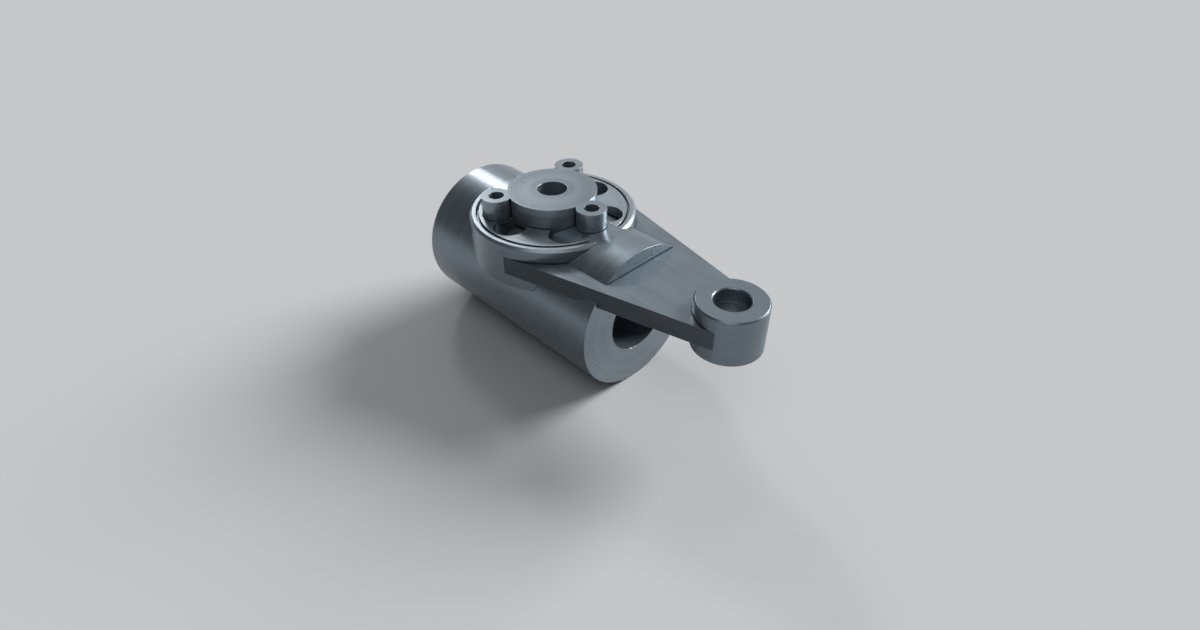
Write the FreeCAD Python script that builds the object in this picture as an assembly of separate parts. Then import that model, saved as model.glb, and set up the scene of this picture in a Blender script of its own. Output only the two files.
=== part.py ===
import FreeCAD, Part
import math
import os
from FreeCAD import Vector

# Lever arm with a cross tube, a three-lug hub on its round head and a small end boss.
# A steel fabrication: every piece is plain turned, bored or profiled stock, and the pieces
# are brazed together with no running joints.
#
# Frame: origin at the middle of the cross tube, on its axis. +X runs along the tube and
# towards the end boss, +Z points from the tube to the hub. Millimetres.

# ---- Cross tube ----
tube_diameter = 80.0
tube_bore = 40.0
tube_length = 130.0

# ---- Round head, in two cheeks that clasp the crown of the tube ----
head_overhang = 5.0          # the rim stands this far out past the tube on each side
head_height = 24.5
crown_stand = 1.0            # the tube's crown stands this far above the head's top face
rim_chamfer = 1.3
rim_land = 2.1               # flat ring between the chamfer and the groove
groove_width = 1.6
groove_depth = 2.0

# ---- Holes of the head, on the pitch circle that they share with the hub's lugs ----
head_hole_diameter = 17.5
head_hole_count = 6
head_hole_first_angle = 30.0  # degrees from +X
hole_land = 1.25             # between the holes and the groove

# ---- Three-lug hub ----
lug_root = 2.0               # how far the round of each lug reaches into the round of the hub
hub_stand = 11.0             # hub's top face above the head's top face
hub_recess = 2.0             # how deep the hub is let into the head
hub_bore = 16.0
lug_diameter = 16.0
lug_hole_diameter = 8.0
lug_count = 3
drill_depth = 15.0           # of the bore and the lug holes, drilled after brazing

# ---- Web plate ----
web_thickness = 10.0
web_drop = 7.5               # top face of the web below the top faces of head and boss

# ---- End boss ----
arm_length = 120.0           # tube centre to boss centre
boss_diameter = 35.0
boss_height = 24.5
boss_bore = 17.5
boss_chamfer = 0.8
boss_bore_chamfer = 0.6

# ---- Fit between brazed pieces ----
braze_gap = 0.05

# ---- Derived sizes ----
tube_radius = tube_diameter / 2
head_radius = tube_radius + head_overhang
groove_outer = head_radius - rim_chamfer - rim_land
groove_inner = groove_outer - groove_width
pitch_radius = groove_inner - hole_land - head_hole_diameter / 2
hub_radius = pitch_radius - lug_diameter / 2 + lug_root
boss_radius = boss_diameter / 2
bore_radius = boss_bore / 2

head_top = tube_radius - crown_stand
head_bottom = head_top - head_height
boss_bottom = head_top - boss_height
hub_top = head_top + hub_stand
hub_bottom = head_top - hub_recess
web_top = head_top - web_drop
web_bottom = web_top - web_thickness

# The web's sides are the outer tangents of the head and the boss. Their slope puts the
# corners of the web exactly where each tangent leaves its circle.
tangent_sine = (head_radius - boss_radius) / arm_length
tangent_cosine = math.sqrt(1 - tangent_sine ** 2)
web_start = head_radius * tangent_sine
web_end = arm_length + boss_radius * tangent_sine

# Long enough to run clear through any piece.
overrun = tube_length + arm_length + 2 * head_radius

UP = Vector(0, 0, 1)
ALONG = Vector(1, 0, 0)


def upright(radius, bottom, top, x=0.0, y=0.0):
    """A cylinder that stands on the plane z = bottom."""
    return Part.makeCylinder(radius, top - bottom, Vector(x, y, bottom), UP)


def turned(profile, x=0.0):
    """A solid turned about a vertical axis from (radius, height) corners."""
    corners = [Vector(x + radius, 0, height) for radius, height in profile]
    outline = Part.makePolygon(corners + corners[:1])
    return Part.Face(outline).revolve(Vector(x, 0, 0), UP, 360)


def polar(radius, count, first_angle=0.0):
    """Evenly spaced (x, y) places on a circle about the head's axis."""
    step = 2 * math.pi / count
    start = math.radians(first_angle)
    return [(radius * math.cos(start + i * step), radius * math.sin(start + i * step))
            for i in range(count)]


def tube_space(end):
    """What the tube takes out of the pieces brazed round it, from far behind up to x = end."""
    start = -overrun
    return Part.makeCylinder(tube_radius + braze_gap, end - start, Vector(start, 0, 0), ALONG)


def web_slot(start, end):
    """The level slot that a piece has for the web, between x = start and x = end."""
    height = web_thickness + 2 * braze_gap
    corner = Vector(start, -overrun / 2, web_bottom - braze_gap)
    return Part.makeBox(end - start, overrun, height, corner)


def head_holes():
    """The six holes, long enough to pass through head and web."""
    places = polar(pitch_radius, head_hole_count, head_hole_first_angle)
    return [upright(head_hole_diameter / 2, head_bottom - 1, hub_top, x, y) for x, y in places]


def hub_outline(clearance, bottom, top):
    """The round hub with its lugs, grown all round by a clearance."""
    body = upright(hub_radius + clearance, bottom, top)
    lugs = [upright(lug_diameter / 2 + clearance, bottom, top, x, y)
            for x, y in polar(pitch_radius, lug_count)]
    return body.fuse(lugs).removeSplitter()


def hub_drillings():
    """The hub's bore and lug holes, which run on through the hub into the tube and the head."""
    floor = hub_top - drill_depth
    holes = [upright(lug_hole_diameter / 2, floor, hub_top, x, y)
             for x, y in polar(pitch_radius, lug_count)]
    return holes + [upright(hub_bore / 2, floor, hub_top)]


def cross_tube():
    """Plain tube for the cross shaft, drilled from above through the hub."""
    start = Vector(-tube_length / 2, 0, 0)
    outer = Part.makeCylinder(tube_radius, tube_length, start, ALONG)
    bore = Part.makeCylinder(tube_bore / 2, tube_length, start, ALONG)
    return outer.cut([bore] + hub_drillings())


def head():
    """The round head: chamfered, grooved and drilled, then bored across for the tube.

    The bore breaks out through the top face, so it leaves two cheeks."""
    groove_floor = head_top - groove_depth
    blank = turned([
        (0, head_bottom),
        (head_radius, head_bottom),
        (head_radius, head_top - rim_chamfer),
        (head_radius - rim_chamfer, head_top),
        (groove_outer, head_top),
        (groove_outer, groove_floor),
        (groove_inner, groove_floor),
        (groove_inner, head_top),
        (0, head_top),
    ])
    seat = hub_outline(braze_gap, hub_bottom, hub_top)
    slot = web_slot(web_start - braze_gap, overrun)
    return blank.cut(head_holes() + hub_drillings() + [seat, slot, tube_space(overrun)])


def cheek(side):
    """The half of the head on one side of the tube: +1 is the +Y side, -1 the -Y side."""
    half = Part.makeBox(2 * overrun, overrun, 2 * overrun, Vector(-overrun, 0, -overrun))
    if side < 0:
        half = half.mirror(Vector(0, 0, 0), Vector(0, 1, 0))
    return head().common(half)


def web_plate():
    """Tapered plate from the head to the end boss, forked round the tube."""
    head_reach = head_radius * tangent_cosine
    boss_reach = boss_radius * tangent_cosine
    corners = [
        Vector(web_start, -head_reach, web_bottom),
        Vector(web_end, -boss_reach, web_bottom),
        Vector(web_end, boss_reach, web_bottom),
        Vector(web_start, head_reach, web_bottom),
    ]
    outline = Part.Face(Part.makePolygon(corners + corners[:1]))
    plate = outline.extrude(Vector(0, 0, web_thickness))
    boss_hole = upright(bore_radius, boss_bottom, head_top, arm_length)
    return plate.cut(head_holes() + [boss_hole, tube_space(tube_length / 2 + braze_gap)])


def end_boss():
    """Turned boss, chamfered on top and slotted over the end of the web."""
    blank = turned([
        (bore_radius, boss_bottom),
        (boss_radius, boss_bottom),
        (boss_radius, head_top - boss_chamfer),
        (boss_radius - boss_chamfer, head_top),
        (bore_radius + boss_bore_chamfer, head_top),
        (bore_radius, head_top - boss_bore_chamfer),
    ], arm_length)
    return blank.cut(web_slot(-overrun, web_end + braze_gap))


def lug_hub():
    """Hub with three drilled lugs, let into the head and saddled over the tube."""
    blank = hub_outline(0, hub_bottom, hub_top)
    return blank.cut(hub_drillings() + [tube_space(overrun)])


pieces = {
    "cross_tube": cross_tube(),
    "left_cheek": cheek(1),
    "right_cheek": cheek(-1),
    "web_plate": web_plate(),
    "end_boss": end_boss(),
    "lug_hub": lug_hub(),
}

os.makedirs("parts", exist_ok=True)
for name, shape in pieces.items():
    solid = shape.removeSplitter()
    solid.exportStep(f"parts/{name}.step")
    print(f"{name}: {len(solid.Solids)} solid, {solid.Volume / 1000:.2f} cm3, valid {solid.isValid()}")
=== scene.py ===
import math

import bpy
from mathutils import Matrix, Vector


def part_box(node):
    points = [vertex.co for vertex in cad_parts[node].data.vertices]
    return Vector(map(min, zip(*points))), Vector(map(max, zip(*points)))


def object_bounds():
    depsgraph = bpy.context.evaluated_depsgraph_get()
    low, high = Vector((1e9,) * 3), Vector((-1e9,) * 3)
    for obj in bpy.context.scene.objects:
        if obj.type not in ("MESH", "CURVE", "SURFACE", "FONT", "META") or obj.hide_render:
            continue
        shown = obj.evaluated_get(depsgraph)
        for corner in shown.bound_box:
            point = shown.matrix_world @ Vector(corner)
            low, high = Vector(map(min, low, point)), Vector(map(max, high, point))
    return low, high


# Looks of a brazed steel lever arm with a cross tube: machined steel on every CAD piece,
# a pale floor and soft studio light. Everything here is in metres.

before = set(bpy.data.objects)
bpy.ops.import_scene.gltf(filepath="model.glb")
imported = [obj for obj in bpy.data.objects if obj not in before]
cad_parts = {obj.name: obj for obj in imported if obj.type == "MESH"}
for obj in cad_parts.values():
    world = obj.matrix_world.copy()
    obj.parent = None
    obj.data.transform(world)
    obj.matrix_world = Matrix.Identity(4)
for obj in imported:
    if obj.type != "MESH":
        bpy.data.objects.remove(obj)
cad_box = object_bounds()

MM = 0.001

# ---- Places, worked out from the frame ----

TUBE_LOW, TUBE_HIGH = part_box("cross_tube")
BOSS_LOW, BOSS_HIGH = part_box("end_boss")

HEAD_CENTRE = Vector((0.0, 0.0, 0.0))
TUBE_CENTRE = (TUBE_LOW + TUBE_HIGH) / 2
BOSS_CENTRE = (BOSS_LOW + BOSS_HIGH) / 2
ALONG_X = Vector((1.0, 0.0, 0.0))
ALONG_Z = Vector((0.0, 0.0, 1.0))

# ---- Camera ----

CAMERA_TARGET = Vector((0.0501, -0.0140, -0.0002))
CAMERA_DISTANCE = 0.3702
CAMERA_AZIMUTH = -44.93
CAMERA_ELEVATION = 37.60
CAMERA_LENS = 21.13

# ---- Studio ----

FLOOR_HALF_SIDE = 60.0
FLOOR_COLOUR = (0.54, 0.55, 0.56, 1.0)
BACKDROP = (0.56, 0.57, 0.58, 1.0)    # as bright as the lit floor
LAMP_DISTANCE = 0.9

# Name, azimuth, elevation and width as seen from the lever, in degrees, and strength in W/m2.
LAMPS = (
    ("key", 153, 35, 9, 0.45),
    ("back", 75, 30, 30, 4.0),
    ("fill", -60, 62, 40, 0.45),
)

# The world's light. The places are azimuth and elevation. The edges are cosines of the angle
# from that place, or from straight up for the horizon, where a change begins and is full.
SKY = (0.12, 0.122, 0.125, 1.0)
GLOW = (0.72, 0.72, 0.72, 1.0)
GLOW_PLACE = (142, 38)
GLOW_EDGES = (0.80, 0.97)
DARK_SIDE = (0.08, 0.083, 0.086, 1.0)
DARK_PLACE = (-95, 0)
DARK_EDGES = (0.10, 0.80)
HORIZON_EDGES = (0.35, 0.05)

# ---- Steel ----

# The first two colours are one steel in a darker and a lighter tone. The lighter one is painted
# light, laid on the faces of the tube and the cheeks and on the hub's walls.
TURNED_STEEL = (0.216, 0.262, 0.300, 1.0)
PAINTED_LIGHT_STEEL = (0.290, 0.340, 0.380, 1.0)
PLATE_STEEL = (0.190, 0.232, 0.267, 1.0)
# Painted shade: a dark colour for the web's outer side walls, standing in for their shade.
PAINTED_SHADE_STEEL = (0.075, 0.093, 0.108, 1.0)
RUBBED_STEEL = (0.430, 0.480, 0.520, 1.0)
# Painted shade: the dark colour named SCALE is laid into corners where little of the surroundings
# is open.
SCALE = (0.030, 0.036, 0.042, 1.0)
METALLIC = 0.75
MARK_PITCH = 4 * MM      # the widest tool marks; the noise adds three finer sets
MARK_DEPTH = 0.010 * MM
MARK_DETAIL = 3.0
MARK_FINENESS = 0.5      # how strong each finer set is beside the one before
MOTTLE_SIZE = 22 * MM
MOTTLE_DETAIL = 3.0
MOTTLE_FINENESS = 0.55

# Colour and roughness follow the marks and the mottling, which are both about 0.5 on average.
TONE_BASE = 0.74
TONE_BY_MARKS = 0.30
TONE_BY_MOTTLE = 0.22
ROUGHNESS_BASE = 0.12
ROUGHNESS_BY_MARKS = 0.22
ROUGHNESS_BY_MOTTLE = 0.14
ROUGHNESS_BY_CORNER = 0.25

# How square to its axis a wall has to be to count as a face (cosine: begins, is full).
FACE_EDGES = (0.5, 0.9)

# Rubbed edges: where the softened normal turns from the true one (cosine: begins, is full).
EDGE_ROUND = 0.35 * MM
EDGE_SAMPLES = 6
RUBBED_EDGES = (0.985, 0.86)
RUBBED_PATCHES = 0.10
RUBBED_SHARE = 0.65

# Painted shade in corners: darker and rougher where little of the surroundings is open (share
# open: begins, is full).
CORNER_REACH = 1.2 * MM
CORNER_SAMPLES = 8
CORNER_EDGES = (0.92, 0.58)
CORNER_SHARE = 0.85

# The grinding lines of the web run along X. Painted shade darkens its outer side walls, which lie
# outside these two rounds;
# the rounds take in the walls of the head's holes and of the boss's bore.
WEB_LINES = (0.03, 1.0, 1.0)
HEAD_HOLES_REACH = 42 * MM
BOSS_BORE_REACH = 13 * MM


def direction(azimuth, elevation):
    """Unit vector towards a place in the studio; azimuth is from +X towards +Y, in degrees."""
    level = math.cos(math.radians(elevation))
    return Vector((
        level * math.cos(math.radians(azimuth)),
        level * math.sin(math.radians(azimuth)),
        math.sin(math.radians(elevation)),
    ))


def add_object(name, data):
    thing = bpy.data.objects.new(name, data)
    bpy.context.scene.collection.objects.link(thing)
    return thing


# ---- Camera, light and floor ----

def add_camera():
    """Looks down on the lever from the side of the free tube end and the boss."""
    away = direction(CAMERA_AZIMUTH, CAMERA_ELEVATION)
    data = bpy.data.cameras.new("camera")
    data.sensor_width = 36.0
    data.lens = CAMERA_LENS
    data.clip_start = 0.01
    camera = add_object("camera", data)
    camera.location = CAMERA_TARGET + CAMERA_DISTANCE * away
    camera.rotation_euler = away.to_track_quat("Z", "Y").to_euler()
    bpy.context.scene.camera = camera


def add_lamp(name, azimuth, elevation, width, strength):
    """A round, soft lamp so far away that its light is even over the floor."""
    data = bpy.data.lights.new(name, "SUN")
    data.angle = math.radians(width)
    data.energy = strength
    lamp = add_object(name, data)
    away = direction(azimuth, elevation)
    lamp.location = CAMERA_TARGET + LAMP_DISTANCE * away
    lamp.rotation_euler = away.to_track_quat("Z", "Y").to_euler()


class Nodes:
    """Short spellings for building one node tree."""

    def __init__(self, tree):
        self.tree = tree
        tree.nodes.clear()

    def add(self, kind, **settings):
        node = self.tree.nodes.new("ShaderNode" + kind)
        for name, value in settings.items():
            setattr(node, name, value)
        return node

    def feed(self, socket, value):
        """Links a socket to another node's socket, or gives it a plain value."""
        if isinstance(value, bpy.types.NodeSocket):
            self.tree.links.new(value, socket)
        else:
            socket.default_value = value

    def math(self, operation, *values):
        node = self.add("Math", operation=operation)
        for socket, value in zip(node.inputs, values):
            self.feed(socket, value)
        return node.outputs["Value"]

    def vector(self, operation, *values):
        node = self.add("VectorMath", operation=operation)
        for socket, value in zip(node.inputs, values):
            self.feed(socket, value)
        plain = operation in ("DOT_PRODUCT", "LENGTH", "DISTANCE")
        return node.outputs["Value" if plain else "Vector"]

    def ramp(self, value, low, high, to_low=0.0, to_high=1.0):
        """A smooth step from to_low to to_high as value goes from low to high."""
        node = self.add("MapRange", interpolation_type="SMOOTHSTEP")
        for name, given in zip(
            ("Value", "From Min", "From Max", "To Min", "To Max"),
            (value, low, high, to_low, to_high),
        ):
            self.feed(node.inputs[name], given)
        return node.outputs["Result"]

    def mix(self, share, first, second):
        node = self.add("Mix", data_type="RGBA")
        self.feed(node.inputs["Factor"], share)
        self.feed(node.inputs["A"], first)
        self.feed(node.inputs["B"], second)
        return node.outputs["Result"]

    def weigh(self, base, *terms):
        """base plus each term's value times its weight."""
        total = base
        for value, weight in terms:
            total = self.math("ADD", total, self.math("MULTIPLY", value, weight))
        return total

    def noise(self, place, scale, detail, roughness):
        node = self.add("TexNoise")
        self.feed(node.inputs["Vector"], place)
        node.inputs["Scale"].default_value = scale
        node.inputs["Detail"].default_value = detail
        node.inputs["Roughness"].default_value = roughness
        return node.outputs["Fac"]


def light_world():
    """Soft light from all round, with a glow behind and a dark side in front.

    The camera sees a plain backdrop instead, and glossy rays see it near the horizon."""
    world = bpy.data.worlds.new("studio")
    bpy.context.scene.world = world
    world.use_nodes = True
    nodes = Nodes(world.node_tree)
    towards = nodes.add("TexCoord").outputs["Generated"]
    rays = nodes.add("LightPath").outputs

    glow_cosine = nodes.vector("DOT_PRODUCT", towards, direction(*GLOW_PLACE))
    dark_cosine = nodes.vector("DOT_PRODUCT", towards, direction(*DARK_PLACE))
    height = nodes.vector("DOT_PRODUCT", towards, ALONG_Z)
    horizon = nodes.math("MULTIPLY", nodes.ramp(height, *HORIZON_EDGES), rays["Is Glossy Ray"])

    light = nodes.mix(nodes.ramp(glow_cosine, *GLOW_EDGES), SKY, GLOW)
    light = nodes.mix(horizon, light, BACKDROP)
    light = nodes.mix(nodes.ramp(dark_cosine, *DARK_EDGES), light, DARK_SIDE)
    light = nodes.mix(rays["Is Camera Ray"], light, BACKDROP)

    background = nodes.add("Background")
    nodes.feed(background.inputs["Color"], light)
    output = nodes.add("OutputWorld")
    nodes.feed(output.inputs["Surface"], background.outputs["Background"])


def floor_material():
    material = bpy.data.materials.new("floor")
    material.use_nodes = True
    nodes = Nodes(material.node_tree)
    shader = nodes.add("BsdfDiffuse")
    shader.inputs["Color"].default_value = FLOOR_COLOUR
    output = nodes.add("OutputMaterial")
    nodes.feed(output.inputs["Surface"], shader.outputs["BSDF"])
    return material


def add_floor():
    """A plain pale floor that the tube rests on."""
    s = FLOOR_HALF_SIDE
    mesh = bpy.data.meshes.new("floor")
    mesh.from_pydata([(-s, -s, 0), (s, -s, 0), (s, s, 0), (-s, s, 0)], [], [(0, 1, 2, 3)])
    mesh.materials.append(floor_material())
    floor = add_object("floor", mesh)
    floor.location.z = cad_box[0].z


# ---- Steel ----

def turned_marks(nodes, place, centre, axis):
    """Rings about an axis: by radius on the faces, by height on the round walls."""
    offset = nodes.vector("SUBTRACT", place, centre)
    along = nodes.vector("DOT_PRODUCT", offset, axis)
    outwards = nodes.vector("SUBTRACT", offset, nodes.vector("PROJECT", offset, axis))
    rings = nodes.add("CombineXYZ")
    nodes.feed(rings.inputs["X"], nodes.vector("LENGTH", outwards))
    nodes.feed(rings.inputs["Y"], along)
    return rings.outputs["Vector"]


def steel(name, marks_of, axis, face, side, shift, painted_shade_of=None):
    """Machined steel: tool marks, faint mottling, rubbed edges and painted shade in the corners.

    marks_of(nodes, place) gives the place in the noise that draws the tool marks, and shift sets
    the marks of one piece apart from another's. Faces square to the axis have the colour face and
    the rest has the colour side. The last argument, where it is given, is a function of (nodes,
    place) that gives the share of each place with painted shade: the sides there are darkened to
    stand in for shade."""
    material = bpy.data.materials.new(name)
    material.use_nodes = True
    nodes = Nodes(material.node_tree)
    place = nodes.add("TexCoord").outputs["Object"]
    marks_place = nodes.vector("ADD", marks_of(nodes, place), shift)
    marks = nodes.noise(marks_place, 1 / MARK_PITCH, MARK_DETAIL, MARK_FINENESS)
    mottle_place = nodes.vector("ADD", place, shift)
    mottle = nodes.noise(mottle_place, 1 / MOTTLE_SIZE, MOTTLE_DETAIL, MOTTLE_FINENESS)

    flat = nodes.add("NewGeometry").outputs["Normal"]
    bevel = nodes.add("Bevel", samples=EDGE_SAMPLES)
    bevel.inputs["Radius"].default_value = EDGE_ROUND
    turn = nodes.vector("DOT_PRODUCT", bevel.outputs["Normal"], flat)
    uneven = nodes.math("SUBTRACT", mottle, 0.5)
    rubbed = nodes.ramp(nodes.weigh(turn, (uneven, RUBBED_PATCHES)), *RUBBED_EDGES)

    shade = nodes.add("AmbientOcclusion", samples=CORNER_SAMPLES)
    shade.inputs["Distance"].default_value = CORNER_REACH
    corner = nodes.ramp(shade.outputs["AO"], *CORNER_EDGES)

    # Painted shade: where it is given, the sides are darkened to stand in for shade.
    if painted_shade_of:
        side = nodes.mix(painted_shade_of(nodes, place), side, PAINTED_SHADE_STEEL)
    square = nodes.math("ABSOLUTE", nodes.vector("DOT_PRODUCT", flat, axis))
    plain = nodes.mix(nodes.ramp(square, *FACE_EDGES), side, face)
    tinted = nodes.add("VectorMath", operation="SCALE")
    nodes.feed(tinted.inputs[0], plain)
    tone = nodes.weigh(TONE_BASE, (marks, TONE_BY_MARKS), (mottle, TONE_BY_MOTTLE))
    nodes.feed(tinted.inputs["Scale"], tone)
    rubbed_share = nodes.math("MULTIPLY", rubbed, RUBBED_SHARE)
    colour = nodes.mix(rubbed_share, tinted.outputs["Vector"], RUBBED_STEEL)
    # Painted shade: corners where little is open take the dark colour.
    colour = nodes.mix(nodes.math("MULTIPLY", corner, CORNER_SHARE), colour, SCALE)

    roughness = nodes.weigh(
        ROUGHNESS_BASE,
        (marks, ROUGHNESS_BY_MARKS),
        (mottle, ROUGHNESS_BY_MOTTLE),
        (corner, ROUGHNESS_BY_CORNER),
    )

    bump = nodes.add("Bump")
    bump.inputs["Strength"].default_value = 1.0
    bump.inputs["Distance"].default_value = MARK_DEPTH
    nodes.feed(bump.inputs["Height"], marks)
    nodes.feed(bump.inputs["Normal"], bevel.outputs["Normal"])

    shader = nodes.add("BsdfPrincipled")
    nodes.feed(shader.inputs["Base Color"], colour)
    nodes.feed(shader.inputs["Roughness"], roughness)
    nodes.feed(shader.inputs["Normal"], bump.outputs["Normal"])
    shader.inputs["Metallic"].default_value = METALLIC
    output = nodes.add("OutputMaterial")
    nodes.feed(output.inputs["Surface"], shader.outputs["BSDF"])
    return material


def dress(node, marks_of, axis, face, side, shift, painted_shade_of=None):
    material = steel(node + "_steel", marks_of, axis, face, side, shift, painted_shade_of)
    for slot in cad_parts[node].material_slots:
        slot.material = material


def head_marks(nodes, place):
    return turned_marks(nodes, place, HEAD_CENTRE, ALONG_Z)


def boss_marks(nodes, place):
    return turned_marks(nodes, place, BOSS_CENTRE, ALONG_Z)


def tube_marks(nodes, place):
    return turned_marks(nodes, place, TUBE_CENTRE, ALONG_X)


def web_marks(nodes, place):
    """Straight grinding lines along the web."""
    return nodes.vector("MULTIPLY", place, WEB_LINES)


def past_round(nodes, place, centre, reach):
    """1 outside an upright round and 0 within it, with a soft millimetre between."""
    offset = nodes.vector("SUBTRACT", place, centre)
    level = nodes.vector("MULTIPLY", offset, (1.0, 1.0, 0.0))
    return nodes.ramp(nodes.vector("LENGTH", level), reach, reach + MM)


def web_painted_shade(nodes, place):
    """Painted shade on the web's outer profile, without the walls of its holes."""
    past_head = past_round(nodes, place, HEAD_CENTRE, HEAD_HOLES_REACH)
    past_boss = past_round(nodes, place, BOSS_CENTRE, BOSS_BORE_REACH)
    return nodes.math("MULTIPLY", past_head, past_boss)


add_camera()
add_floor()
light_world()
for lamp in LAMPS:
    add_lamp(*lamp)

# The lighter tone is painted light on the faces of the tube and the cheeks and on the hub's
# walls. The hub's top takes the darker tone.
dress("cross_tube", tube_marks, ALONG_X, PAINTED_LIGHT_STEEL, TURNED_STEEL, (0.1, 0.0, 0.0))
dress("left_cheek", head_marks, ALONG_Z, PAINTED_LIGHT_STEEL, TURNED_STEEL, (0.0, 0.2, 0.0))
dress("right_cheek", head_marks, ALONG_Z, PAINTED_LIGHT_STEEL, TURNED_STEEL, (0.0, 0.3, 0.0))
# The web's outer side walls get painted shade.
dress("web_plate", web_marks, ALONG_Z, PLATE_STEEL, PLATE_STEEL, (0.0, 0.0, 0.4), web_painted_shade)
dress("end_boss", boss_marks, ALONG_Z, PLATE_STEEL, PLATE_STEEL, (0.5, 0.0, 0.0))
dress("lug_hub", head_marks, ALONG_Z, TURNED_STEEL, PAINTED_LIGHT_STEEL, (0.0, 0.6, 0.0))

bpy.context.scene.view_settings.view_transform = "Standard"
